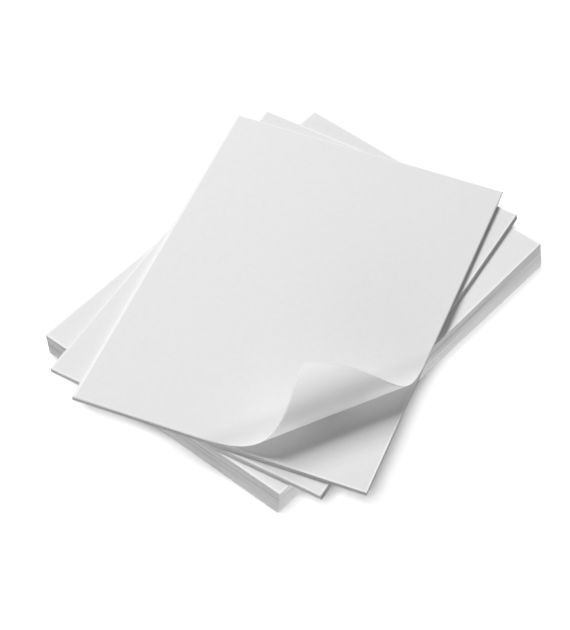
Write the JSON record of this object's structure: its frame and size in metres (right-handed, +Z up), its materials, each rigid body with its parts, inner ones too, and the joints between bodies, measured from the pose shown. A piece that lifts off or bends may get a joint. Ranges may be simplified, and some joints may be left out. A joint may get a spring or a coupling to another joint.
{
  "type": "ream of paper",
  "caption": "Loose unwrapped ream of plain white office paper, fanned into a thick block and two thin sheaves, with the topmost sheet curled up and back at one corner.",
  "frame": {"origin": "centre of the underside of the lowest sheet, on the surface that the ream lies on", "axes": "+Z up through the pile, +Y along the long side of the lowest sheet, away from the curled corner, +X to the right along its short side"},
  "size_m": [0.296, 0.3498, 0.0655],
  "materials": {
    "paper": "matt uncoated paper"
  },
  "bodies": {
    "root": {"block_bundle_01": "paper", "block_bundle_02": "paper", "block_bundle_03": "paper", "block_bundle_04": "paper", "block_bundle_05": "paper", "block_bundle_06": "paper", "block_bundle_07": "paper", "block_bundle_08": "paper", "block_bundle_09": "paper", "block_bundle_10": "paper", "block_bundle_11": "paper", "block_bundle_12": "paper", "block_bundle_13": "paper", "block_bundle_14": "paper", "block_bundle_15": "paper", "block_bundle_16": "paper", "block_bundle_17": "paper", "block_bundle_18": "paper", "block_bundle_19": "paper", "block_bundle_20": "paper", "middle_bundle_01": "paper", "middle_bundle_02": "paper", "middle_bundle_03": "paper", "middle_bundle_04": "paper", "middle_bundle_05": "paper", "middle_bundle_06": "paper", "middle_bundle_07": "paper", "top_bundle_01": "paper", "top_bundle_02": "paper", "top_bundle_03": "paper", "top_bundle_04": "paper", "top_bundle_05": "paper", "top_bundle_06": "paper", "top_bundle_07": "paper", "curled_top_sheet": "paper"}
  },
  "joints": []
}
